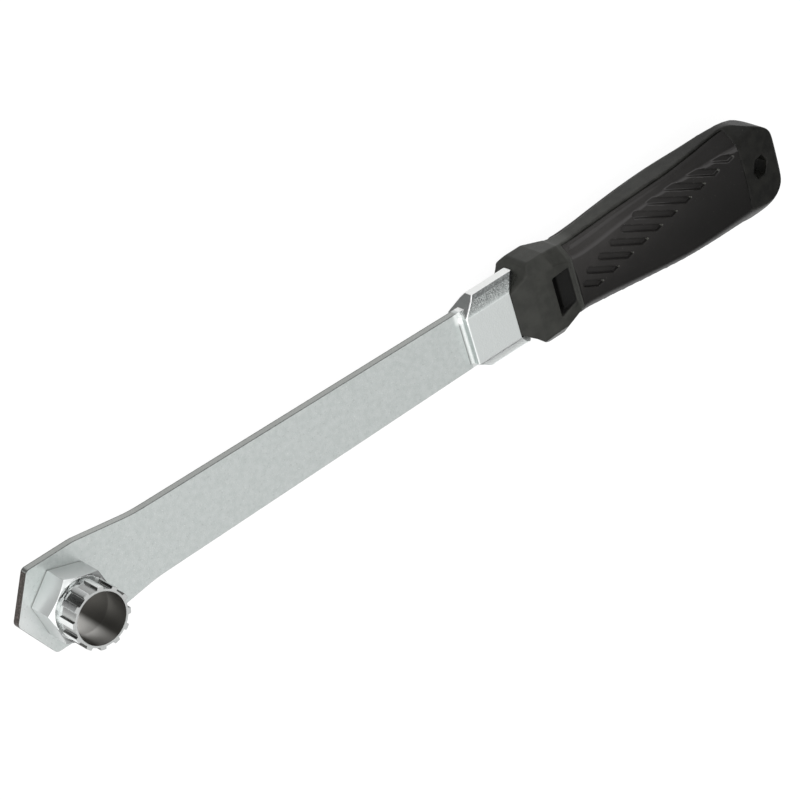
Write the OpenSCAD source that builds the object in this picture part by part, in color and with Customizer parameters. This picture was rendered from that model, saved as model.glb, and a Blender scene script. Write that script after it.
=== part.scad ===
// Cassette lockring tool: a splined steel socket swaged into a flat plated
// lever, with a two-shot moulded handle on the lever's tang.
// Millimetres. The origin is on the bore axis, in the middle of the plate.
// +X runs along the lever to the handle, +Z is the side the socket stands on.

/* [Socket] */

// Radius of the through bore
bore_r = 9.8; // [6:0.05:10]
// Number of splines
spline_count = 12; // [6:1:18]
// Radius at the spline tips
spline_tip_r = 11.7; // [11:0.05:12]
// Radius between the splines
spline_root_r = 10.65; // [10:0.05:11.2]
// Width of one spline at its tip
spline_w = 2.1; // [1.2:0.05:3]
// Height of the socket's front face above the plate
socket_h = 23.9; // [16:0.1:32]
// Nut size across its flats
nut_af = 24; // [22:0.5:27]
// Height of the nut above the plate
nut_h = 12.4; // [6:0.1:16]
// Drop of the nut's corners below its face, from the turned chamfer
nut_chamfer_h = 1.25; // [0.3:0.05:2.5]
// Turn of the splines and nut corners about the axis
socket_turn = 12.5; // [0:0.5:30]
// Radius of the spigot swaged into the plate
spigot_r = 11.6; // [10.8:0.1:13]
// Width of the swaged rim at the back of the plate
swage_w = 0.9; // [0.3:0.1:1.5]

/* [Lever plate] */

// Thickness of the plate
plate_t = 3.6; // [2.5:0.1:6]
// Width of the hexagonal head across its two long flats
head_w = 35; // [30:0.5:44]
// Rounding of the head's corners
head_corner_r = 2.2; // [0.5:0.1:6]
// Half width of the arm behind the head
arm_front_hw = 13.8; // [10:0.1:17]
// Half width of the arm at the bolster
arm_rear_hw = 11.9; // [8:0.1:15]
// Distance from the bore to the bolster's front wall
arm_len = 185; // [120:1:260]
// Width of the broken edge round the plate
edge_break = 0.45; // [0.1:0.05:1]

/* [Bolster] */

// Thickness of the bolster over its two broad faces
bolster_t = 11.6; // [8:0.1:16]
// Half width of the bolster over its side flats
bolster_hw = 15.5; // [12:0.1:18]
// Half width of the bolster's broad face
bolster_face_hw = 10; // [6:0.1:13]
// Length of the bolster's broad face
bolster_len = 21; // [10:0.5:40]
// Height of the bolster's side flats
bolster_side_h = 4.2; // [2:0.1:8]
// Radius of the fillet at the foot of the bolster's front wall
foot_fillet_r = 2; // [0.5:0.1:4]

/* [Handle] */

// Largest thickness of the collar
collar_t = 22.6; // [16:0.1:28]
// Half width of the collar
collar_hw = 17.6; // [14:0.1:22]
// Half height of the collar's narrow side
collar_band_h = 6.5; // [3:0.1:9]
// Depth of the pocket in the collar's broad faces
pocket_depth = 5.5; // [3:0.1:7]
// Half length of the pocket across the collar
pocket_hw = 8.6; // [4:0.1:12]
// Hex hanging hole size across its flats
hang_af = 8.2; // [5:0.1:12]
// Fall of the tip's broad faces, in degrees
tip_slope = 15; // [0:1:30]

/* [Grip panels] */

// Width of a grip slot
slot_w = 2.6; // [1:0.1:4]
// Depth of a grip slot
slot_d = 1.2; // [0.4:0.1:2.5]
// Spacing of the slots along the handle
slot_pitch = 8; // [5:0.1:12]
// Lean of the slots from the handle's length, in degrees
slot_lean = 26; // [10:1:60]
// Number of grip slots
slot_count = 10; // [0:1:12]
// Rise of the panels' crowned faces over their edges
crown = 0.8; // [0:0.1:2]
// Depth of the parting groove between a panel and the hard core
parting_d = 0.9; // [0:0.1:2]
// Width of the parting groove
parting_w = 1; // [0.2:0.1:2]

/* [Hidden] */

$fn = 96;
eps = 0.01;
half_t = plate_t / 2;
nut_corner_r = nut_af / 2 / cos(30);
nut_top_z = half_t + nut_h;
socket_top_z = half_t + socket_h;
head_r = head_w / 2 / cos(30);
bolster_x0 = arm_len;
bolster_x1 = arm_len + bolster_len;
bolster_ht = bolster_t / 2;
side_run = 7.2;
rear_run = 6.3;
rear_corner_r = 0.8;
recess_ht = 4.7;
collar_x0 = bolster_x1;
collar_x1 = collar_x0 + 18;
groove_x = 232.6;
neck_x = 234.4;
crease_x = 320.4;
tip_x = 342.3;
hang_x = 330.2;
hang_y = -2.2;
tang_hw = 8;
tang_x = 300;

// Outline of the handle: x, top edge, bottom edge, half height of the narrow
// band, height of the broad face. The top is nearly straight and the palm
// side is fuller, as seen in the photograph.
handle_keys = [
    [226, 16.6, -17.4, 5.4, 9.9],
    [235, 14.8, -15.9, 3.8, 9.9],
    [245, 15.0, -16.6, 3.6, 10.0],
    [258, 16.0, -17.8, 4.1, 10.1],
    [272, 16.9, -19.1, 4.7, 10.2],
    [288, 17.6, -20.6, 4.9, 10.4],
    [304, 18.3, -21.9, 3.7, 10.5],
    [313, 18.9, -22.5, 2.8, 10.5],
    [320.4, 18.9, -22.95, 2.2, 10.5],
    [330, 17.6, -22.8, 2.2, 9.0]
];

// Outline of the tip behind the crease: x, top edge, bottom edge, half height
// of the end wall at the top and at the bottom
tip_keys = [
    [320.4, 18.9, -22.95, 2.2, 2.2],
    [323, 18.55, -22.95, 2.2, 2.6],
    [325.5, 17.7, -22.75, 3.1, 3.0],
    [329, 16.0, -22.2, 5.0, 3.6],
    [332, 14.6, -21.6, 6.2, 4.0],
    [335, 12.9, -20.6, 5.9, 4.2],
    [338, 10.8, -18.9, 5.0, 4.1],
    [340, 9.0, -17.0, 4.4, 3.8],
    [341.5, 6.8, -14.6, 3.7, 3.4],
    [342.3, 4.0, -11.5, 2.9, 2.9]
];

// Row before x in a list of keys
function row(keys, x, i = 0) =
    (i + 2 >= len(keys) || x < keys[i + 1][0]) ? i : row(keys, x, i + 1);

// Smooth curve through four values
function smooth(a, b, c, d, t) =
    0.5 * (2 * b + (c - a) * t + (2 * a - 5 * b + 4 * c - d) * t * t
        + (3 * b - a - 3 * c + d) * t * t * t);

// Value of column c at x, on a smooth curve through the keys
function at(keys, x, c) =
    let (i = row(keys, x), last = len(keys) - 1)
    let (t = (x - keys[i][0]) / (keys[i + 1][0] - keys[i][0]))
    smooth(
        keys[max(i - 1, 0)][c],
        keys[i][c],
        keys[i + 1][c],
        keys[min(i + 2, last)][c],
        t
    );

function unit(v) = v / norm(v);

// Points of the arc that rounds corner b between a and c
function corner(a, b, c, r, n) =
    let (u = unit(a - b), v = unit(c - b))
    let (h = acos(u * v) / 2)
    let (m = b + unit(u + v) * r / sin(h))
    let (p = b + u * r / tan(h) - m, q = b + v * r / tan(h) - m)
    let (s = atan2(p[1], p[0]), e = atan2(q[1], q[0]))
    let (d = (e - s > 180) ? e - s - 360 : (e - s < -180) ? e - s + 360 : e - s)
    [for (i = [0 : n]) m + r * [cos(s + d * i / n), sin(s + d * i / n)]];

function mirrored(points) =
    [for (i = [len(points) - 1 : -1 : 0]) [points[i][0], -points[i][1]]];

// Upper half of the plate's outline, from the nose back to the bolster
nose = [-head_r, 0];
shoulder_in = [-head_r / 2, head_w / 2];
shoulder_out = [head_r / 2, head_w / 2];
arm_start = [35, arm_front_hw];
arm_end = [bolster_x0 + 3, arm_rear_hw];
half_outline = concat(
    [for (i = [3 : 6]) corner([nose[0] / 2, -head_w / 2], nose, shoulder_in, head_corner_r, 6)[i]],
    corner(nose, shoulder_in, shoulder_out, head_corner_r, 5),
    corner(shoulder_in, shoulder_out, arm_start, 16, 4),
    corner(shoulder_out, arm_start, arm_end, 60, 4),
    [arm_end]
);
plate_outline = concat(half_outline, mirrored([for (i = [1 : len(half_outline) - 1]) half_outline[i]]));

// Long prism that breaks one straight edge of the plate on both faces
module broken_edge(a, b) {
    d = b - a;
    translate([a[0], a[1], 0])
        rotate([0, 0, atan2(d[1], d[0])])
            for (side = [-1, 1])
                translate([norm(d) / 2, 0, side * half_t])
                    rotate([45, 0, 0])
                        cube([norm(d) + 0.1, edge_break * sqrt(2), edge_break * sqrt(2)], center = true);
}

module plate() {
    difference() {
        translate([0, 0, -half_t])
            linear_extrude(height = plate_t)
                polygon(plate_outline);
        for (i = [0 : len(half_outline) - 2]) {
            broken_edge(half_outline[i], half_outline[i + 1]);
            mirror([0, 1, 0])
                broken_edge(half_outline[i], half_outline[i + 1]);
        }
    }
}

// Section of the bolster across its length: broad face, two bevels, side flat
module bolster_section() {
    quarter = [
        [bolster_face_hw, bolster_ht],
        [bolster_hw - 1.3, bolster_side_h / 2 + 1.3],
        [bolster_hw, bolster_side_h / 2]
    ];
    right = concat(quarter, mirrored(quarter));
    left = [for (i = [len(right) - 1 : -1 : 0]) [-right[i][0], right[i][1]]];
    polygon(concat(right, left));
}

// Plan of the bolster: square front, slanted cheeks, and rear shoulders that
// run on into the handle's collar
module bolster_plan() {
    rear = [bolster_x1 + rear_run, bolster_hw];
    shoulder = [bolster_x1 + rear_run, bolster_face_hw + 3.2];
    side = concat(
        [[bolster_x0, bolster_face_hw], [bolster_x0 + side_run, bolster_hw]],
        corner([bolster_x0 + side_run, bolster_hw], rear, shoulder, rear_corner_r, 6),
        [shoulder, shoulder - [2, 2], [bolster_x1, bolster_face_hw]]
    );
    polygon(concat(side, mirrored(side)));
}

// Slanted facet at the rear end of the upper bevel, on the side of +Y. It
// starts from nothing at the broad face and is widest at the outer corner.
module rear_facet() {
    n = unit([0.55, 0.02, 0.83]);
    u = unit(cross([0, 1, 0], n));
    v = cross(n, u);
    multmatrix([
        [u[0], v[0], n[0], bolster_x1],
        [u[1], v[1], n[1], bolster_face_hw],
        [u[2], v[2], n[2], bolster_ht],
        [0, 0, 0, 1]
    ])
        translate([-10, -10, 0])
            cube([30, 30, 6]);
}

module bolster() {
    difference() {
        intersection() {
            translate([bolster_x0 - 5, 0, 0])
                rotate([90, 0, 90])
                    linear_extrude(height = 50)
                        bolster_section();
            translate([0, 0, -10])
                linear_extrude(height = 20)
                    bolster_plan();
        }
        for (side = [0, 1])
            for (face = [0, 1])
                mirror([0, side, 0])
                    mirror([0, 0, face])
                        rear_facet();
    }
}

// Concave fillet where the bolster's front wall stands on the plate
module foot_fillet() {
    r = foot_fillet_r;
    for (side = [0, 1])
        mirror([0, 0, side])
            translate([bolster_x0 - r, -bolster_face_hw, half_t - eps])
                rotate([-90, 0, 0])
                    difference() {
                        translate([0, -r, 0])
                            cube([r + 1, r, 2 * bolster_face_hw]);
                        translate([0, -r, -1])
                            cylinder(r = r, h = 2 * bolster_face_hw + 2, $fn = 48);
                    }
}

// Flat tang that the handle is moulded on
module tang() {
    points = [
        [bolster_x0 + 5, arm_rear_hw],
        [bolster_x1 + 10, arm_rear_hw],
        [bolster_x1 + 16, tang_hw],
        [tang_x - 4, tang_hw],
        [tang_x, tang_hw - 4]
    ];
    translate([0, 0, -half_t])
        linear_extrude(height = plate_t)
            polygon(concat(points, mirrored(points)));
}

module spigot_hole() {
    translate([0, 0, -half_t - 1])
        cylinder(r = spigot_r, h = plate_t + 2);
    translate([0, 0, -half_t - eps])
        cylinder(r1 = spigot_r + swage_w + eps, r2 = spigot_r, h = swage_w + eps);
}

module lever() {
    color([0.74, 0.76, 0.76])
        difference() {
            union() {
                plate();
                bolster();
                foot_fillet();
                tang();
            }
            spigot_hole();
        }
}

// Hexagonal nut with the turned chamfer that leaves arcs on its flats
module nut() {
    intersection() {
        translate([0, 0, half_t])
            rotate([0, 0, socket_turn + 30])
                cylinder(r = nut_corner_r, h = nut_h, $fn = 6);
        rotate_extrude()
            polygon([
                [0, half_t],
                [nut_corner_r - 0.4, half_t],
                [nut_corner_r + 0.1, half_t + 0.5],
                [nut_corner_r + 0.1, nut_top_z - nut_chamfer_h],
                [nut_corner_r - nut_chamfer_h / tan(30), nut_top_z],
                [0, nut_top_z]
            ]);
    }
}

// One spline, a little wider at its root
module spline() {
    w = spline_w / 2;
    polygon([
        [spline_root_r - 1, w + 0.35],
        [spline_root_r, w + 0.2],
        [spline_tip_r + 0.2, w],
        [spline_tip_r + 0.2, -w],
        [spline_root_r, -w - 0.2],
        [spline_root_r - 1, -w - 0.35]
    ]);
}

// Splined tube; its revolved envelope gives the tips their lead-in chamfer
module splines() {
    intersection() {
        translate([0, 0, nut_top_z - 1])
            linear_extrude(height = socket_top_z - nut_top_z + 1)
                union() {
                    circle(r = spline_root_r);
                    for (i = [0 : spline_count - 1])
                        rotate([0, 0, socket_turn + i * 360 / spline_count])
                            spline();
                }
        rotate_extrude()
            polygon([
                [0, 0],
                [spline_tip_r, 0],
                [spline_tip_r, socket_top_z - 0.8],
                [spline_tip_r - 0.8, socket_top_z],
                [0, socket_top_z]
            ]);
    }
}

module bore() {
    translate([0, 0, -half_t - 1])
        cylinder(r = bore_r, h = socket_top_z + half_t + 2);
    translate([0, 0, socket_top_z - 0.35])
        cylinder(r1 = bore_r, r2 = bore_r + 0.4, h = 0.4);
    translate([0, 0, -half_t - 0.05])
        cylinder(r1 = bore_r + 0.4, r2 = bore_r, h = 0.4);
}

module lockring_socket() {
    color([0.78, 0.8, 0.8])
        difference() {
            union() {
                translate([0, 0, -half_t])
                    cylinder(r = spigot_r, h = plate_t + 1);
                translate([0, 0, -half_t])
                    cylinder(r1 = spigot_r + swage_w, r2 = spigot_r, h = swage_w);
                nut();
                splines();
            }
            bore();
        }
}

// Bevel of one side of the handle's section, from the edge of the narrow strip
// to the start of the broad face
function bevel_points(edge, sign, band, face) =
    let (run = 0.92 * (face - band))
    let (a = [edge, band], c = [edge - sign * run, face])
    let (b = a + 0.5 * (c - a), d = [c[0] - sign * 0.4 * run, face])
    concat(
        [a],
        [for (i = [0 : 5])
            let (t = i / 5)
            (1 - t) * (1 - t) * b + 2 * t * (1 - t) * c + t * t * d]
    );

function reversed(points) = [for (i = [len(points) - 1 : -1 : 0]) points[i]];

// Upper half of the section, from the top edge over the crowned broad face
function half_section(top, bottom, band_top, band_bottom, face, rise) =
    let (right = bevel_points(top, 1, band_top, face - rise))
    let (left = bevel_points(bottom, -1, band_bottom, face - rise))
    let (a = right[len(right) - 1][0], b = left[len(left) - 1][0])
    concat(
        right,
        [for (i = [1 : 7])
            let (t = i / 4 - 1)
            [(a + b) / 2 - t * (a - b) / 2, face - rise * t * t]],
        reversed(left)
    );

// Faces of a solid skinned over m rings of n points
function skin_faces(m, n) =
    concat(
        [[for (j = [0 : n - 1]) j]],
        [for (k = [0 : m - 2]) for (j = [0 : n - 1])
            [k * n + j, (k + 1) * n + j, (k + 1) * n + (j + 1) % n, k * n + (j + 1) % n]],
        [[for (j = [n - 1 : -1 : 0]) (m - 1) * n + j]]
    );

module skin(xs, rings) {
    n = len(rings[0]);
    points = [for (k = [0 : len(xs) - 1]) for (p = rings[k]) [xs[k], p[0], p[1]]];
    polyhedron(points = points, faces = skin_faces(len(xs), n), convexity = 6);
}

body_steps = 36;
body_xs = [for (i = [0 : body_steps]) neck_x + (crease_x - neck_x) * i / body_steps];

function band_at(x) = at(handle_keys, x, 3);

// Ring of a soft panel: a parting groove steps it in from the hard strip
function panel_ring(x) =
    let (top = at(handle_keys, x, 1), bottom = at(handle_keys, x, 2))
    let (band = band_at(x), face = at(handle_keys, x, 4))
    let (lift = band + parting_w, step_in = parting_w * 0.75)
    concat(
        [[top - parting_d - 0.3, band]],
        half_section(top - step_in, bottom + step_in, lift, lift, face, crown),
        [[bottom + parting_d + 0.3, band]]
    );

// One slanted slot: square-ended toward the palm, round-ended above
module slot(i) {
    x_end = 234.6 + i * slot_pitch;
    y_end = -8.4 + i * 1.73;
    long = i < 2 ? 6.5 : min(9.2 + 1.45 * i, 18.5);
    away = [-cos(slot_lean), sin(slot_lean)];
    across = [sin(slot_lean), cos(slot_lean)] * slot_w;
    face = at(handle_keys, max(x_end - 6, neck_x), 4);
    translate([x_end, y_end, face - slot_d - 0.3])
        linear_extrude(height = 5)
            union() {
                polygon([[0, 0], [3.5, 1], long * away + across, long * away]);
                translate(long * away + across / 2)
                    circle(r = slot_w / 2, $fn = 20);
            }
}

module grip_panel() {
    difference() {
        skin(body_xs, [for (x = body_xs) panel_ring(x)]);
        for (i = [1 : slot_count])
            slot(i);
    }
}

module grip_front() {
    color([0.17, 0.17, 0.17])
        grip_panel();
}

module grip_back() {
    color([0.17, 0.17, 0.17])
        mirror([0, 0, 1])
            grip_panel();
}

// Height of the broad face of the tip, falling away behind the crease
function tip_face(x) =
    let (left = tip_x - x)
    let (fall = 10.5 - (x - crease_x) * tan(tip_slope))
    left < 2.4 ? fall - 0.18 * (2.4 - left) * (2.4 - left) : fall;

// Ring of the tip, whole section
function tip_ring(x) =
    let (top = at(tip_keys, x, 1), bottom = at(tip_keys, x, 2))
    let (rise = crown * max(0.15, 1 - (x - crease_x) / 14))
    let (face = tip_face(x))
    let (half = half_section(top, bottom, at(tip_keys, x, 3), at(tip_keys, x, 4), face, rise))
    concat(half, [for (p = reversed(half)) [p[0], -p[1]]]);

tip_xs = concat([for (i = [0 : 13]) crease_x + i * 1.4], [339.6, 340.4, 341.1, 341.7, 342.1, 342.3]);

module tip() {
    skin(tip_xs, [for (x = tip_xs) tip_ring(x)]);
}

// Hard strip between the two panels
module core_strip() {
    edge_pts = [for (x = body_xs) [x, at(handle_keys, x, 1)]];
    low_pts = [for (x = reversed(body_xs)) [x, at(handle_keys, x, 2)]];
    band_pts = [for (x = body_xs) [x, band_at(x)]];
    inner = [[crease_x + 6, 14], [crease_x + 6, -19]];
    start = [[neck_x - 6, -13], [neck_x - 6, 13]];
    side = concat(
        [[neck_x - 6, band_at(neck_x)]],
        band_pts,
        [[crease_x + 6, band_at(crease_x)]]
    );
    intersection() {
        translate([0, 0, -12])
            linear_extrude(height = 24)
                polygon(concat(edge_pts, inner, low_pts, start));
        translate([0, 40, 0])
            rotate([90, 0, 0])
                linear_extrude(height = 80)
                    polygon(concat(side, mirrored(side)));
    }
}

// Section of the collar across its length
module collar_section(hw_top, hw_low, band, face) {
    run = 0.92 * (face - band);
    points = [
        [hw_top, band],
        [hw_top - run, face],
        [-hw_low + run, face],
        [-hw_low, band]
    ];
    polygon(concat(points, mirrored(points)));
}

module collar_front() {
    ht = collar_t / 2;
    plan = [
        [collar_x0, bolster_face_hw - 1],
        [collar_x0 + 5.6, 13.2],
        [collar_x0 + 8.3, 16.2],
        [collar_x0 + 10.4, collar_hw - 0.4],
        [collar_x1, collar_hw - 0.4]
    ];
    plan_low = [
        [collar_x1, -collar_hw],
        [collar_x1 - 6, -collar_hw],
        [collar_x0 + 10.4, 0.2 - collar_hw],
        [collar_x0 + 8.3, -16.2],
        [collar_x0 + 5.6, -13.2],
        [collar_x0, 1 - bolster_face_hw]
    ];
    side = [
        [collar_x0, bolster_ht + 0.3],
        [collar_x0 + 7.6, ht - 1.5],
        [collar_x0 + 13.7, ht],
        [collar_x1, ht],
        [collar_x1, -ht],
        [collar_x0 + 13.7, -ht],
        [collar_x0 + 7.6, 2 - ht],
        [collar_x0, 0.2 - bolster_ht]
    ];
    intersection() {
        translate([0, 0, -15])
            linear_extrude(height = 30)
                polygon(concat(plan, plan_low));
        translate([0, 40, 0])
            rotate([90, 0, 0])
                linear_extrude(height = 80)
                    polygon(side);
        translate([collar_x0 - 1, 0, 0])
            rotate([90, 0, 90])
                linear_extrude(height = 30)
                    collar_section(collar_hw - 0.4, collar_hw, collar_band_h, ht);
    }
}

module collar_slice(x, hw_top, hw_low, band, face) {
    translate([x, 0, 0])
        rotate([90, 0, 90])
            linear_extrude(height = 2 * eps)
                collar_section(hw_top, hw_low, band, face);
}

// Waist between the collar and the grip panels, with a moulded groove
module neck() {
    hull() {
        collar_slice(collar_x1 - eps, collar_hw - 0.4, collar_hw, collar_band_h, collar_t / 2);
        collar_slice(groove_x, 15.3, 16.3, 4.2, 10.2);
    }
    hull() {
        collar_slice(groove_x - 1, 15.2, 16.3, 4.2, 9.2);
        collar_slice(neck_x - eps, band_top_at_neck, -band_low_at_neck, band_at(neck_x), 9.2);
    }
}

band_top_at_neck = at(handle_keys, neck_x, 1);
band_low_at_neck = at(handle_keys, neck_x, 2);

// Room in the collar for the bolster's rear shoulders
module shoulder_recess() {
    translate([0, 0, -recess_ht])
        linear_extrude(height = 2 * recess_ht)
            bolster_plan();
}

// Wedge pocket, deepest at its front wall
module pocket() {
    ht = collar_t / 2;
    x0 = 222.3;
    x1 = 231;
    intersection() {
        translate([0, 20, 0])
            rotate([90, 0, 0])
                linear_extrude(height = 40)
                    polygon([
                        [x0, ht + 1],
                        [x0, ht - pocket_depth],
                        [x0 + 3.4, ht - pocket_depth],
                        [x0 + 3.6, ht - 3],
                        [x1 - 0.5, ht - 2.1],
                        [x1, ht - 1.5],
                        [x1, ht + 1]
                    ]);
        linear_extrude(height = 20)
            polygon([
                [x0, pocket_hw - 0.3],
                [x1, pocket_hw - 0.6],
                [x1, 2.4 - pocket_hw],
                [x0, -pocket_hw]
            ]);
    }
}

module hang_hole() {
    translate([hang_x, hang_y, -15])
        cylinder(r = hang_af / 2 / cos(30), h = 30, $fn = 6);
}

module handle_core() {
    color([0.24, 0.24, 0.23])
        difference() {
            union() {
                collar_front();
                neck();
                core_strip();
                tip();
            }
            tang();
            shoulder_recess();
            pocket();
            mirror([0, 0, 1])
                pocket();
            hang_hole();
        }
}

lever();
lockring_socket();
handle_core();
grip_front();
grip_back();
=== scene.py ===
# %% [markdown]
# # Dressing a cassette lockring tool
# The solids come packed from the CAD step. This lesson gives them soft edges, real finishes,
# light and a camera. Blender works in metres, in the frame of the solids: the origin is on the
# socket's bore, +X runs to the handle, +Z is the side on which the socket stands. Sizes are
# written in millimetres here, because the tool is small.

# %% Load the frame
import math

import bmesh
import bpy
from mathutils import Matrix, Vector


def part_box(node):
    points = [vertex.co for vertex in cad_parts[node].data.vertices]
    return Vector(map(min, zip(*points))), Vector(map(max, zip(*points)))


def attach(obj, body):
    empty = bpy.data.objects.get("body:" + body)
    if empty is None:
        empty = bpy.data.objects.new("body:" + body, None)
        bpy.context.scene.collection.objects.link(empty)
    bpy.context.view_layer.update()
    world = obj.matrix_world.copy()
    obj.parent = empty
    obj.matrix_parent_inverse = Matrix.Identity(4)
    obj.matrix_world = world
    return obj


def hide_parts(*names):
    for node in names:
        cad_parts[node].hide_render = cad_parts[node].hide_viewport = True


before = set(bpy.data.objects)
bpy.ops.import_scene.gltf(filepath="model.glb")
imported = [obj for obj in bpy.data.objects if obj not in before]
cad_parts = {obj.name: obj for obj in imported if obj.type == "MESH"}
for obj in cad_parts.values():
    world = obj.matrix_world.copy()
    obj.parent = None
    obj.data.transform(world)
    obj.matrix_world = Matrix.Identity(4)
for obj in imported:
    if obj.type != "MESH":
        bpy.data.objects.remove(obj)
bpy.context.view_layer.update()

MM = 0.001
print("solids:", sorted(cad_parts))


# %% [markdown]
# ## Soft edges
# No real edge is a razor's edge. A plated forging has bright rounded edges, and a moulding has
# the small radius that its mould was cut with. The solids are exact, so each dressed piece
# starts as a copy of its solid. The loose triangles are merged, flat areas become single
# faces, and a bevel then rounds only the sharp edges.

# %% Work on one piece at a time
def only(piece):
    """Leaves just this piece selected and active."""
    if bpy.context.object and bpy.context.object.mode != "OBJECT":
        bpy.ops.object.mode_set(mode="OBJECT")
    bpy.ops.object.select_all(action="DESELECT")
    piece.select_set(True)
    bpy.context.view_layer.objects.active = piece


def apply_modifier(piece, kind, **settings):
    """Adds a modifier, sets it and applies it."""
    only(piece)
    modifier = piece.modifiers.new(kind.title(), kind)
    for key, value in settings.items():
        setattr(modifier, key, value)
    bpy.ops.object.modifier_apply(modifier=modifier.name)


# %% A copy of a solid with whole faces
def merged_copy(node, merge, flat=0.4):
    """Copies a CAD node, merges points closer than merge mm and faces flat to so many degrees."""
    piece = bpy.data.objects.new("dressed_" + node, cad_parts[node].data.copy())
    bpy.context.scene.collection.objects.link(piece)
    piece.data.materials.clear()
    only(piece)
    bpy.ops.mesh.customdata_custom_splitnormals_clear()
    bpy.ops.object.mode_set(mode="EDIT")
    bpy.ops.mesh.select_all(action="SELECT")
    bpy.ops.mesh.remove_doubles(threshold=merge * MM)
    bpy.ops.mesh.dissolve_limited(angle_limit=math.radians(flat))
    bpy.ops.object.mode_set(mode="OBJECT")
    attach(piece, "root")
    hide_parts(node)
    print(piece.name, "starts with", len(piece.data.polygons), "faces")
    return piece


# %% Rounding
def everywhere(middle):
    """Passes every edge."""
    return True


def round_edges(piece, width, segments, sharp, where=everywhere, clamp=False):
    """Rounds by width mm the edges that turn more than sharp degrees and pass where(middle)."""
    only(piece)
    bpy.ops.object.mode_set(mode="EDIT")
    bpy.ops.mesh.select_mode(type="EDGE")
    bpy.ops.mesh.select_all(action="DESELECT")
    mesh = bmesh.from_edit_mesh(piece.data)
    count = 0
    for edge in mesh.edges:
        middle = (edge.verts[0].co + edge.verts[1].co) / 2 / MM
        if edge.is_manifold and edge.calc_face_angle() > math.radians(sharp) and where(middle):
            edge.select = True
            count += 1
    bmesh.update_edit_mesh(piece.data)
    bpy.ops.mesh.bevel(offset=width * MM, segments=segments, profile=0.5, clamp_overlap=clamp)
    bpy.ops.object.mode_set(mode="OBJECT")
    print(piece.name, "rounded", count, "edges by", width, "mm")


# %% Shading for metal, and melting for mouldings
SMOOTH_UNDER = math.radians(35)


def shade(piece):
    """Smooth shading that keeps large flat faces flat."""
    only(piece)
    bpy.ops.object.shade_smooth_by_angle(angle=SMOOTH_UNDER)
    apply_modifier(piece, "WEIGHTED_NORMAL", keep_sharp=True, weight=80)


def melt(piece, voxel, passes, keep):
    """Gives a moulding its small radii: an even remesh, smoothing passes, then fewer faces."""
    apply_modifier(piece, "REMESH", mode="VOXEL", voxel_size=voxel * MM, use_smooth_shade=True)
    apply_modifier(piece, "SMOOTH", factor=0.5, iterations=passes)
    apply_modifier(piece, "DECIMATE", ratio=keep)
    only(piece)
    bpy.ops.object.shade_smooth()
    print(piece.name, "triangles:", len(piece.data.polygons))


# %% [markdown]
# ## Lever
# The lever is one forging: a hexagonal head, a thin arm, and a thick bolster where the handle
# begins. The dies and the grinding left a wider radius along the bolster's broad faces and
# round its front cheeks than the punch left on the arm, so the two are rounded apart.

# %% Lever
BOLSTER_X = (185.0, 206.5)
BOLSTER_FACE = (10.0, 5.8)  # half width and height of the broad faces


def on_bolster_edge(p):
    """The long edges of the bolster's broad faces, and those round its front cheeks."""
    start, end = BOLSTER_X
    half_width, height = BOLSTER_FACE
    beside_face = abs(abs(p.y) - half_width) < 0.4 and abs(abs(p.z) - height) < 0.4
    front_top = abs(p.x - start) < 0.3 and abs(abs(p.z) - height) < 0.3
    cheek = 185.2 < p.x < 191.5 and abs(p.y) > 10.5 and 2.4 < abs(p.z) < 5.7
    return (beside_face and start - 1 < p.x < end) or front_top or cheek


lever = merged_copy("lever", 0.03)
round_edges(lever, 0.45, 4, 12, on_bolster_edge)
round_edges(lever, 0.12, 3, 28)
shade(lever)

# %% [markdown]
# ## Socket
# The splines are cut square to the end of the tube, and down to a turned relief just above the
# nut, where the tool bit ran out. The end is made by cutting the tube through its full splines
# and extruding that section. For the relief a plain ring is cut from the copy, as on a lathe.

# %% A ring to cut with, and a square end
def turned_ring(name, inner, outer, low, high):
    """A closed ring about the bore's axis, made of a cylinder and the hole through it, in mm."""
    rings = []
    for radius, spare in ((outer, 0), (inner, 1)):
        bpy.ops.object.select_all(action="DESELECT")
        bpy.ops.mesh.primitive_cylinder_add(
            vertices=96, radius=radius * MM, depth=(high - low + spare) * MM,
            location=(0, 0, (low + high) / 2 * MM))
        bpy.ops.object.transform_apply(location=True)
        rings.append(bpy.context.object)
    apply_modifier(rings[0], "BOOLEAN", operation="DIFFERENCE", object=rings[1], solver="EXACT")
    bpy.data.objects.remove(rings[1])
    rings[0].name = name
    return rings[0]


def square_end(piece, cut, top):
    """Cuts the turned lead-in off the splines and runs their full section on to the end."""
    only(piece)
    bpy.ops.object.mode_set(mode="EDIT")
    bpy.ops.mesh.select_mode(type="EDGE")
    bpy.ops.mesh.select_all(action="SELECT")
    bpy.ops.mesh.bisect(plane_co=(0, 0, cut * MM), plane_no=(0, 0, 1), clear_outer=True)
    bpy.ops.mesh.extrude_region_move(TRANSFORM_OT_translate={"value": (0, 0, (top - cut) * MM)})
    bpy.ops.mesh.fill()
    bpy.ops.mesh.select_all(action="SELECT")
    bpy.ops.mesh.remove_doubles(threshold=0.01 * MM)
    bpy.ops.mesh.dissolve_limited(angle_limit=math.radians(0.4))
    bpy.ops.mesh.normals_make_consistent(inside=False)
    bpy.ops.object.mode_set(mode="OBJECT")
    print(piece.name, "splines run square to z =", top, "mm")


# %% Socket
NUT_TOP, RELIEF_TOP, FULL_SPLINE, SOCKET_TOP = 14.2, 16.9, 24.5, 25.7
NECK_RADIUS, PAST_SPLINES = 10.25, 13.0

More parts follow.
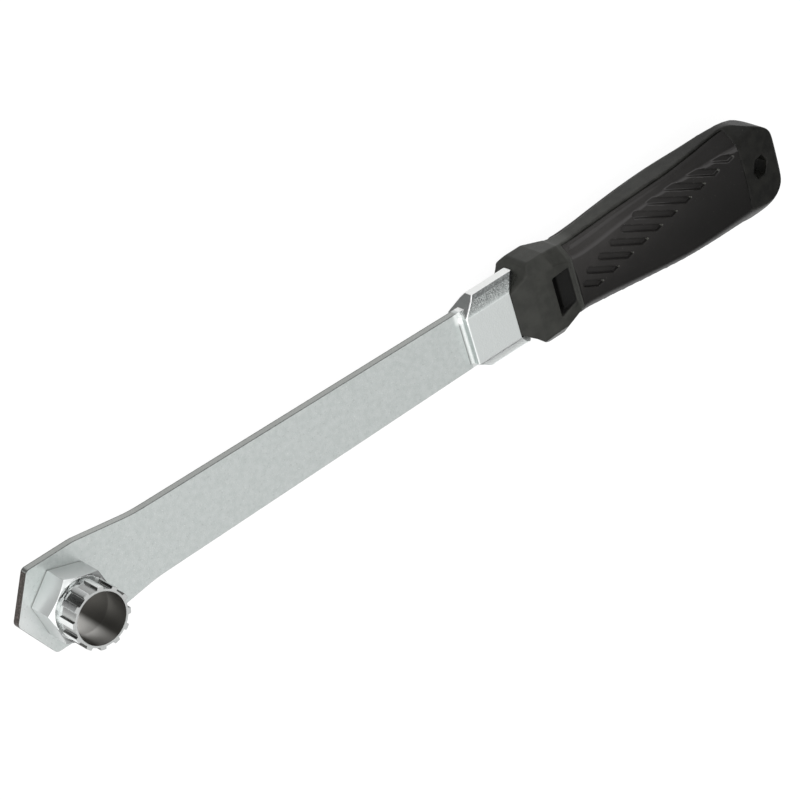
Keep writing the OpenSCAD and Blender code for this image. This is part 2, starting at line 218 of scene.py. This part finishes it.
socket = merged_copy("lockring_socket", 0.02)
square_end(socket, FULL_SPLINE, SOCKET_TOP)
relief = turned_ring("relief_cut", NECK_RADIUS, PAST_SPLINES, NUT_TOP, RELIEF_TOP)
apply_modifier(socket, "BOOLEAN", operation="DIFFERENCE", object=relief, solver="EXACT")
bpy.data.objects.remove(relief)
print("socket faces after the relief:", len(socket.data.polygons))
round_edges(socket, 0.09, 2, 28)
shade(socket)

# %% [markdown]
# ## Handle core
# The core is moulded in one shot round the lever's tang. Its collar has broad soft corners,
# which a bevel makes, and every other edge has only the mould's own small radius. An even
# remesh and a little smoothing give that radius everywhere at once, also in the corners where
# many small faces meet and a bevel would fold over itself.

# %% Handle core
COLLAR_END = 232


def on_collar_edge(p):
    """The collar's outer edges, without its pocket, its shoulder recess and its bore."""
    pocket = 221.5 < p.x < 231.6 and abs(p.y) < 8.6 and abs(p.z) > 6
    recess = p.x < 214 and abs(p.y) < 15.7 and abs(p.z) < 4.8
    inside = abs(p.y) < 12.6 and abs(p.z) < 4.5
    return p.x < COLLAR_END and not (pocket or recess or inside)


core = merged_copy("handle_core", 0.03)
round_edges(core, 0.8, 4, 20, on_collar_edge, clamp=True)
melt(core, 0.40, 3, 0.4)

# %% [markdown]
# ## Grip panels
# The soft panels stand up steeply from their parting line, roll over a rounded ridge and then
# run flat to the palm. The solid has a straight bevel there. Three loops are cut along the
# upper bevel, and each is pushed out by its own amount to make the ridge, which fades out
# towards the end of the handle.

# %% Find the bevel
STEEPEST, FLATTEST = 1.7, 0.6  # rise over run of the panel's bevel


def bevel_edges(mesh):
    """Cross edges of the panel's bevel: in one ring's plane, from the parting line upwards."""
    found = []
    for edge in mesh.edges:
        low, high = sorted((v.co / MM for v in edge.verts), key=lambda p: abs(p.z))
        step = high - low
        in_ring = abs(step.x) < 0.01 and step.length > 2
        leans_in = 0 < high.y < low.y and 3 < abs(low.z) < 7
        slope = abs(step.z) / max(abs(step.y), 0.01)
        if in_ring and leans_in and edge.calc_face_angle() < 0.35 and FLATTEST < slope < STEEPEST:
            found.append(edge)
    return found


# %% Push the ridge out
# For each of the three cuts: its share of the way up the bevel, and its lift in mm.
RIDGE = {1: (0.20, 0.55), 2: (0.36, 0.72), 3: (0.62, 0.42)}
CUTS = len(RIDGE)


def raise_ridge(mesh, front, back):
    """Cuts the bevel's cross edges and lifts the cuts, less and less from front to back."""
    before = set(mesh.verts)
    cross = bevel_edges(mesh)
    spans = []
    for edge in cross:
        low, high = sorted((v.co.copy() for v in edge.verts), key=lambda p: abs(p.z))
        out = sum((f.normal for f in edge.link_faces), Vector()).normalized()
        spans.append((low, high, out))
    bmesh.ops.subdivide_edges(mesh, edges=cross, cuts=CUTS, use_grid_fill=True)
    for low, high, out in spans:
        fade = (back - low.x) / (back - front)
        for cut, (share, lift) in RIDGE.items():
            even = cut / (CUTS + 1)
            spot = low.lerp(high, even)
            share, lift = even + (share - even) * fade, lift * fade
            for vert in mesh.verts:
                if vert not in before and (vert.co - spot).length < 0.02 * MM:
                    vert.co = low.lerp(high, share) + out * lift * MM
    return len(spans)


# %% Grip panels
def make_grip(node):
    """One soft panel: whole faces, the ridge, and the mould's radius."""
    grip = merged_copy(node, 0.03, flat=0.02)
    bpy.ops.object.mode_set(mode="EDIT")
    bpy.ops.mesh.select_all(action="SELECT")
    bpy.ops.mesh.tris_convert_to_quads(face_threshold=0.35, shape_threshold=1.2)
    bpy.ops.mesh.select_all(action="DESELECT")
    mesh = bmesh.from_edit_mesh(grip.data)
    mesh.normal_update()
    grip_low, grip_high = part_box(node)
    print(node, "ridge cut across", raise_ridge(mesh, grip_low[0], grip_high[0]), "edges")
    bmesh.update_edit_mesh(grip.data)
    bpy.ops.object.mode_set(mode="OBJECT")
    melt(grip, 0.30, 3, 0.4)
    return grip


grip_front = make_grip("grip_front")
grip_back = make_grip("grip_back")


# %% [markdown]
# ## Shader maths as plain expressions
# A procedural finish is a sum of masks and noises. Wiring each Math node by hand hides the idea,
# so a small class wraps a socket and turns +, -, * and / into Math nodes. A mask is a number
# from 0 to 1 that says where a finish is.

# %% A socket that can be added and multiplied
class Wire:
    """Wraps one output socket of a node tree."""

    def __init__(self, tree, socket):
        self.tree, self.socket = tree, socket

    def _math(self, operation, *values):
        return self.tree.add("ShaderNodeMath", {"operation": operation}, *values)

    def __add__(self, other): return self._math("ADD", self, other)
    def __radd__(self, other): return self._math("ADD", other, self)
    def __sub__(self, other): return self._math("SUBTRACT", self, other)
    def __rsub__(self, other): return self._math("SUBTRACT", other, self)
    def __mul__(self, other): return self._math("MULTIPLY", self, other)
    def __rmul__(self, other): return self._math("MULTIPLY", other, self)
    def __truediv__(self, other): return self._math("DIVIDE", self, other)
    def __pow__(self, other): return self._math("POWER", self, other)
    def __neg__(self): return self._math("SUBTRACT", 0, self)
    def __abs__(self): return self._math("ABSOLUTE", self)
    def clamp(self): return self.tree.add("ShaderNodeClamp", {}, self)

    def step(self, low, high):
        """0 below low, 1 above high, and smooth between them."""
        settings = {"interpolation_type": "SMOOTHSTEP"}
        return self.tree.add("ShaderNodeMapRange", settings, Value=self,
                             **{"From Min": low, "From Max": high})

    def drop(self, low, high):
        """1 below low, 0 above high, and smooth between them."""
        return 1 - self.step(low, high)


# %% A node tree whose nodes are added with one method
class Tree:
    """Wraps the nodes of a material or a world."""

    def __init__(self, node_tree):
        self.nodes, self.links = node_tree.nodes, node_tree.links

    def add_node(self, kind, settings, *values, **named):
        node = self.nodes.new(kind)
        for key, value in settings.items():
            setattr(node, key, value)
        for key, value in list(enumerate(values)) + list(named.items()):
            if isinstance(value, Wire):
                self.links.new(value.socket, node.inputs[key])
            else:
                node.inputs[key].default_value = value
        return node

    def add(self, kind, settings, *values, out=0, **named):
        node = self.add_node(kind, settings, *values, **named)
        return Wire(self, node.outputs[out])

    def split(self, vector):
        """The three parts of a vector."""
        node = self.add_node("ShaderNodeSeparateXYZ", {}, vector)
        return [Wire(self, node.outputs[i]) for i in range(3)]


# %% A finish
class Finish(Tree):
    """A material on the shiny shader, with the place in mm as x, y and z."""

    def __init__(self, name):
        self.material = bpy.data.materials.new(name)
        self.material.use_nodes = True
        super().__init__(self.material.node_tree)
        self.shader = self.nodes["Principled BSDF"]
        self.where = self.add("ShaderNodeTexCoord", {}, out="Object")
        self.x, self.y, self.z = (part / MM for part in self.split(self.where))

    def normals(self):
        """The three parts of the surface's direction, in the piece's own frame."""
        return self.split(self.add("ShaderNodeTexCoord", {}, out="Normal"))

    def noise(self, size, detail=3.0, rough=0.55):
        """Noise about 0.5, with lumps about as wide as size in mm."""
        return self.add("ShaderNodeTexNoise", {}, Vector=self.where, Scale=1 / (size * MM),
                        Detail=detail, Roughness=rough)

    def mix(self, share, low, high):
        """A colour between low and high, by the number share."""
        node = self.nodes.new("ShaderNodeMix")
        node.data_type = "RGBA"
        for index, value in ((0, share), (6, low), (7, high)):
            if isinstance(value, Wire):
                self.links.new(value.socket, node.inputs[index])
            else:
                node.inputs[index].default_value = (*value, 1)
        return Wire(self, node.outputs[2])

    def bump(self, height, depth):
        """A bump of so many mm."""
        return self.add("ShaderNodeBump", {}, Strength=1.0, Distance=depth * MM, Height=height)

    def set(self, **sockets):
        """Links or sets the shader's sockets, with _ for each space in a name."""
        for key, value in sockets.items():
            target = self.shader.inputs[key.replace("_", " ")]
            if isinstance(value, Wire):
                self.links.new(value.socket, target)
            elif isinstance(value, tuple):
                target.default_value = (*value, 1)
            else:
                target.default_value = value
        print(self.material.name, "has", len(self.nodes), "nodes")


# %% [markdown]
# ## Satin plating on the lever
# The lever is forged, blasted and plated. Plating is a metal that mirrors the room, and the
# blasting under it breaks the mirror into fine grains, so the finish is a bright metal with a
# fine bump and a roughness that wanders a little. A pool of painted light brightens the nose
# in front of the nut.

# %% Plain plating
DARK_PIT_AND_SHADE = (0.12, 0.125, 0.125)

plating = Finish("satin_plating")
x, y, z = plating.x, plating.y, plating.z
normal_x, normal_y, normal_z = plating.normals()
level = abs(normal_z)
forward = -normal_x

grain = plating.noise(0.6, detail=4.0, rough=0.65)
cloud = plating.noise(2.2, detail=3.0).step(0.3, 0.7)
fleck = plating.noise(0.6, detail=1.0).step(0.66, 0.74)
pit = plating.noise(0.8, detail=1.0).step(0.64, 0.74)
# painted light: a pool of light on the head's faces in front of the nut
painted_nose_light = x.drop(-17, -8) * (0.4 + 0.6 * y.step(-10, 2)) * level.step(0.95, 0.99)

tone = plating.mix(cloud, (0.535, 0.572, 0.560), (0.590, 0.622, 0.612))
tone = plating.mix(painted_nose_light * 0.85, tone, (0.74, 0.76, 0.755))
tone = plating.mix(fleck * 0.5, tone, (0.85, 0.87, 0.86))
tone = plating.mix(pit * 0.16, tone, DARK_PIT_AND_SHADE)
print("plating nodes so far:", len(plating.nodes))

# %% [markdown]
# The plate was punched out, so its edge is duller than its faces. Painted shade darkens the
# broken corner and a thin line under it. The short edges at the nose are still dark from the heat.

# %% Punched edges
on_plate = x.drop(183.6, 184.4)
side = level.drop(0.05, 0.35) * on_plate
# painted shade on the broken corner of the plate's edge
painted_corner_shade = level.step(0.12, 0.3) * level.drop(0.93, 0.99) * on_plate
# painted shadow: a thin dark line along the top of the plate's edge
painted_shadow_line = side * abs(z).step(1.15, 1.35) * (0.55 + 0.45 * grain.step(0.4, 0.6))
nose_edge = forward.step(0.7, 0.8) * side * x.drop(-10.5, -9.5)
heat = plating.mix(grain.step(0.45, 0.65), (0.04, 0.035, 0.03), (0.12, 0.10, 0.095))

tone = plating.mix(side * 0.85, tone, (0.34, 0.35, 0.335))
tone = plating.mix((painted_corner_shade * 0.8 + painted_shadow_line * 0.85).clamp(), tone, (0.075, 0.08, 0.075))
tone = plating.mix(nose_edge, tone, heat)
print("plating nodes so far:", len(plating.nodes))

# %% [markdown]
# On the bolster the broad face and the side flats were ground. The upper bevel between them was
# left as the dies made it: rough and speckled, and painted shade darkens it towards its outer
# edge. The lower bevel gets painted light, and the edge round the front cheek and the foot get
# painted highlights.

# %% The bolster's faces
on_bolster = x.step(184.6, 186)
front_end = x.drop(192, 193)
bevel = on_bolster * abs(y).step(9.6, 11.2) * level.step(0.5, 0.7)
upper_bevel = bevel * y.step(0, 1)
painted_lower_bevel_light = on_bolster * (-y).step(9.3, 9.6) * level.drop(0.97, 0.995)
outwards = y.step(9.5, 14)
speck = plating.noise(0.5, detail=2.0).step(0.38, 0.62)
glint = plating.noise(0.45, detail=1.0).step(0.68, 0.76) * upper_bevel
small_step = on_bolster * y.step(14.0, 14.3) * level.step(0.3, 0.5)
cheek = on_bolster * front_end * abs(y).step(10, 10.6) * forward.step(0.4, 0.6)
side_flat = on_bolster * abs(normal_y).step(0.85, 0.95)

tone = plating.mix(on_bolster * level.step(0.95, 0.99), tone, (0.665, 0.695, 0.685))
# painted light: the lower bevel and the lower edge of the bolster are made brighter
tone = plating.mix(painted_lower_bevel_light, tone, (0.90, 0.92, 0.91))
tone = plating.mix(bevel - upper_bevel, tone, (0.76, 0.79, 0.78))
# painted shade: the upper bevel darkens towards its outer edge, broken up by speckle
tone = plating.mix(upper_bevel * (0.34 + 0.32 * outwards) * (1.35 - 0.75 * speck), tone, DARK_PIT_AND_SHADE)
tone = plating.mix(glint * 0.6, tone, (0.95, 0.95, 0.95))
# painted shade on the small step above the bevel and on the front cheek
tone = plating.mix(small_step * 0.6 + cheek * 0.4, tone, DARK_PIT_AND_SHADE)
tone = plating.mix(side_flat, tone, (0.90, 0.91, 0.90))
print("plating nodes so far:", len(plating.nodes))

# %% Painted highlights on the edge and foot of the bolster
# painted highlight along the front edge of the bevel
painted_edge_highlight = x.step(184.6, 185) * front_end * y.step(9, 9.6)
painted_edge_highlight = painted_edge_highlight * forward.step(0.10, 0.22) * forward.drop(0.5, 0.65)
foot = x.step(181.5, 183.2) * x.drop(185.2, 185.8) * level.step(0.2, 0.4)
# painted highlight stripes along the foot fillet
foot_painted_highlight = 0.45 * x.step(184.2, 184.7) + 0.7 * y.step(6.5, 8.5)

tone = plating.mix(painted_edge_highlight, tone, (1.0, 1.0, 1.0))
tone = plating.mix(foot * foot_painted_highlight.clamp(), tone, (0.97, 0.98, 0.97))
plating.set(Base_Color=tone, Metallic=1.0, Roughness=0.3 + 0.12 * grain + 0.10 * foot,
            Normal=plating.bump(grain * (1 + 1.5 * upper_bevel), 0.07))

# %% [markdown]
# ## Turned and broached socket
# The socket is turned on a lathe and its splines are broached, so it is smoother than the forging
# and carries faint rings round the bore's axis. The spanner flats are milled and blasted like the
# lever. The flanks and roots of the splines and the foot of the nut get painted shade.

# %% Where the socket's surfaces are
steel = Finish("socket_steel")
normal_x, normal_y, normal_z = steel.normals()
radius = (steel.x * steel.x + steel.y * steel.y) ** 0.5
outward = (normal_x * steel.x + normal_y * steel.y) / radius

bore = radius.drop(9.95, 10.1)
flats = steel.z.drop(13.6, 14.0)
splined = steel.z.step(16.3, 16.6)
# masks for painted shade: the roots and flanks of the splines and the foot of the nut
root = splined * radius.step(10.2, 10.4) * radius.drop(10.8, 11.2)
flank = abs(outward).drop(0.35, 0.75) * splined * abs(normal_z).drop(0.2, 0.4) * (1 - bore)
nut_foot = radius.step(11, 11.3) * steel.z.drop(2.0, 2.5)
end_face = steel.z.step(25.3, 25.5) * normal_z.step(0.7, 0.9)
print("socket masks use", len(steel.nodes), "nodes")

# %% [markdown]
# The bore is painted dark as shade, except for a stripe of painted light on its lower wall. The
# stripe is found by its direction from the axis.

# %% Socket steel
ROOT_AND_NUT_SHADE = (0.14, 0.14, 0.13)
LIT_BORE_SIDE = (-0.087, -0.996)

# painted light: a stripe on the bore's lower wall, weaker towards the socket's end
lit_bore_wall = ((steel.x * LIT_BORE_SIDE[0] + steel.y * LIT_BORE_SIDE[1]) / radius).step(0.87, 0.985)
lit_bore_wall = lit_bore_wall * (1 - 0.6 * steel.z.step(6, 24))
turned_rings = steel.add("ShaderNodeTexNoise", {"noise_dimensions": "1D"}, W=radius, Scale=1 / 0.15)
steel_grain = steel.noise(0.4)

# the rest of the bore is painted dark as shade
bore_tone = steel.mix(lit_bore_wall, (0.135, 0.13, 0.118), (0.92, 0.91, 0.88))
steel_tone = steel.mix(bore, (0.66, 0.68, 0.675), bore_tone)
# painted shade in the spline roots, at the foot of the nut and on the spline flanks
steel_tone = steel.mix(root * 0.5 + nut_foot * 0.6, steel_tone, ROOT_AND_NUT_SHADE)
steel_tone = steel.mix(flank * 0.9, steel_tone, (0.07, 0.07, 0.065))
steel_tone = steel.mix(end_face, steel_tone, (0.47, 0.48, 0.475))
steel.set(Base_Color=steel_tone, Metallic=1.0,
          Roughness=0.2 + 0.1 * steel_grain + 0.18 * flats + 0.2 * bore,
          Normal=steel.bump(turned_rings, 0.006))

# %% [markdown]
# ## Two mouldings in the handle
# The core is a hard, faintly glossy moulding. The panels are a soft moulding that is duller
# and holds a little dust. Both are near black, so most of what the eye sees on them is the
# faint mirror on top, and its grain. The collar is the greyest, and the core darkens towards
# the end of the handle.

# %% Hard moulding
hard = Finish("hard_moulding")
hard_grain = hard.noise(0.35)
hard_cloud = hard.noise(5).step(0.3, 0.7)
lint = hard.noise(0.55, rough=0.7).step(0.70, 0.75)
# painted highlight on the shoulder behind the collar
painted_shoulder_highlight = hard.x.step(231.3, 232.5) * hard.x.drop(238, 242)
# the pocket is painted dark as shade
pocket = hard.x.step(221.9, 222.3) * hard.x.drop(231, 231.3)
pocket = pocket * abs(hard.y).drop(8, 8.5) * abs(hard.z).drop(9.8, 11)

collar_tone = hard.mix(hard_cloud, (0.021, 0.0215, 0.019), (0.030, 0.0305, 0.027))
tip_tone = hard.mix(hard_cloud, (0.004, 0.004, 0.0034), (0.010, 0.010, 0.0085))
# darker from the collar towards the end of the handle
hard_tone = hard.mix(hard.x.step(230, 325), collar_tone, tip_tone)
hard_tone = hard.mix(painted_shoulder_highlight * 0.8, hard_tone, (0.045, 0.046, 0.042))
hard_tone = hard.mix(lint * 0.6, hard_tone, (0.15, 0.15, 0.14))
hard_tone = hard.mix(pocket * 0.85, hard_tone, (0.002, 0.002, 0.002))
hard.set(Base_Color=hard_tone, Roughness=0.36 + 0.2 * hard_grain + 0.35 * pocket,
         Normal=hard.bump(hard_grain, 0.03), Specular_IOR_Level=0.17)

# %% [markdown]
# A soft panel carries painted highlights along its ridge and on the rims of its slots, and painted
# light on its top side, and it is lighter near the collar than at the end. The ridge is found by
# the way its surface faces, so the finish follows the shape.

# %% Soft moulding
soft = Finish("soft_moulding")
soft_x, soft_y, soft_z = soft.normals()
soft_grain = soft.noise(0.35)
soft_cloud = soft.noise(6, detail=4.0, rough=0.6)
dust = soft.noise(0.6, rough=0.7).step(0.69, 0.74)
# painted light: lighter on the top side of the panel; also lighter towards the collar
top_light_and_collar_tone = (1 - soft.x.step(235, 325) * 0.75) * (0.35 + 0.65 * soft.y.step(-12, 12))
# painted highlight along the ridge
ridge = soft_y.step(0.12, 0.32) * soft_y.drop(0.42, 0.62) * soft.y.step(6, 9)
# painted highlight on the rims of the slots that face the head
painted_rim_highlight = (-soft_x).step(0.30, 0.65) * soft.x.step(236, 238)

soft_tone = soft.mix(top_light_and_collar_tone * (0.6 + 0.8 * soft_cloud), (0.0015, 0.0013, 0.001),
                     (0.025, 0.0235, 0.0225))
soft_tone = soft.mix(ridge * 0.75, soft_tone, (0.052, 0.050, 0.050))
soft_tone = soft.mix(painted_rim_highlight * 0.7, soft_tone, (0.11, 0.11, 0.10))
soft_tone = soft.mix(0.6 * dust, soft_tone, (0.15, 0.145, 0.14))
soft.set(Base_Color=soft_tone, Roughness=0.38 + 0.2 * soft_grain + 0.08 * soft_cloud,
         Normal=soft.bump(soft_grain, 0.03), Specular_IOR_Level=0.16)

# %% Give each piece its finish
for piece, finish, slot in (
    (lever, plating, "lever_plating"),
    (socket, steel, "socket_steel"),
    (core, hard, "core_plastic"),
    (grip_front, soft, "grip_rubber"),
    (grip_back, soft, "grip_rubber"),
):
    piece.data.materials.append(finish.material)
    print(piece.name, "wears", finish.material.name)

# %% [markdown]
# ## Floor, light and camera
# The tool would rest on its handle and on the edge of its head, so the pale floor is tilted by
# those two degrees. It glows a little, as a lit white sheet does, and the metal doesn't mirror
# it, because the cards below already stand for it.

# %% Floor
FLOOR_TILT = math.radians(2.3)
FLOOR_AT = (0.21, 0, -11.4 * MM)

bpy.ops.object.select_all(action="DESELECT")
bpy.ops.mesh.primitive_plane_add(size=6)
floor = bpy.context.object
floor.name = "floor"
floor.visible_glossy = False
floor.data.transform(Matrix.Translation(FLOOR_AT) @ Matrix.Rotation(FLOOR_TILT, 4, "Y"))
pale = Finish("pale_floor")
pale.set(Base_Color=(0.09, 0.09, 0.09), Roughness=0.9,
         Emission_Color=(0.93, 0.93, 0.93), Emission_Strength=1.0)
floor.data.materials.append(pale.material)

# %% [markdown]
# The camera stands where the photographer's did: a long lens, above the head end of the tool and
# a little to its left. Its three directions are written out, because the lights use them too.

# %% Camera
CAMERA_AT = (-0.40075, 0.62349, 0.97910)
RIGHT = Vector((0.75948, -0.26036, 0.59616))
UP = Vector((0.48955, 0.83225, -0.26020))
BACK = RIGHT.cross(UP)

bpy.ops.object.camera_add()
camera = bpy.context.object
turn = Matrix((RIGHT, UP, BACK)).transposed().to_4x4()
camera.matrix_world = Matrix.Translation(CAMERA_AT) @ turn
camera.data.lens = 158.32
camera.data.sensor_width = 36
camera.data.clip_start = 0.01
camera.data.clip_end = 20
bpy.context.scene.camera = camera
bpy.context.scene.view_settings.view_transform = "Standard"
print("camera stands", round(Vector(CAMERA_AT).length, 2), "m from the socket")

# %% [markdown]
# A product studio is a dark room with bright cards in it. Metal shows the cards and the dark
# between them, and that gives it its shape. Lamps would give hard spots, so each card is a
# soft round lobe in the world's own light, which is cheap to render and has little noise.

# %% Cards
# Each is right, up and behind the tool as the camera sees it, and brightness.
CARDS = [
    (0.05, -0.59, 0.81, 1.60),
    (-0.04, 0.87, -0.50, 1.60),
    (0.13, -0.58, -0.81, 1.60),
    (0.23, 0.40, -0.88, 1.60),
    (-0.52, -0.63, -0.58, 1.34),
    (-0.94, 0.04, -0.35, 1.19),
    (-0.86, -0.50, 0.04, 1.04),
    (-0.75, -0.13, 0.65, 0.92),
    (0.64, -0.64, -0.42, 0.86),
    (-0.26, -0.08, -0.96, 0.75),
    (-0.22, 0.84, 0.50, 0.73),
    (-0.34, 0.31, 0.88, 0.72),
    (0.27, 0.00, 0.96, 0.68),
    (0.98, -0.21, -0.04, 0.51),
    (-0.13, -0.97, -0.19, 0.47),
    (0.30, 0.95, 0.12, 0.45),
    (0.42, 0.54, 0.73, 0.26),
    (0.75, 0.10, -0.65, 0.21),
    (-0.56, 0.39, -0.73, 0.21),
]
SMALL_CARDS = [(0.85, 0.02, -0.53, 1.45)]
ROOM_GLOW = 0.02


def cosines(outer, inner):
    """Cosines at which a card starts and is full, from its half angles in degrees."""
    return math.cos(math.radians(outer)), math.cos(math.radians(inner))


# %% Studio world
world = bpy.data.worlds.new("studio")
bpy.context.scene.world = world
world.use_nodes = True
studio = Tree(world.node_tree)
backdrop = studio.nodes["Background"]
direction = studio.add("ShaderNodeTexCoord", {}, out="Generated")
glow = ROOM_GLOW
for cards, (outer, inner) in ((CARDS, cosines(38, 12)), (SMALL_CARDS, cosines(18, 6))):
    for right, up, behind, brightness in cards:
        card = (RIGHT * right + UP * up - BACK * behind).normalized()
        facing = studio.add("ShaderNodeVectorMath", {"operation": "DOT_PRODUCT"},
                            direction, card, out="Value")
        glow = facing.step(outer, inner) * brightness + glow
backdrop.inputs["Color"].default_value = (1, 1, 1, 1)
studio.links.new(glow.socket, backdrop.inputs["Strength"])
print("cards in the studio:", len(CARDS) + len(SMALL_CARDS))
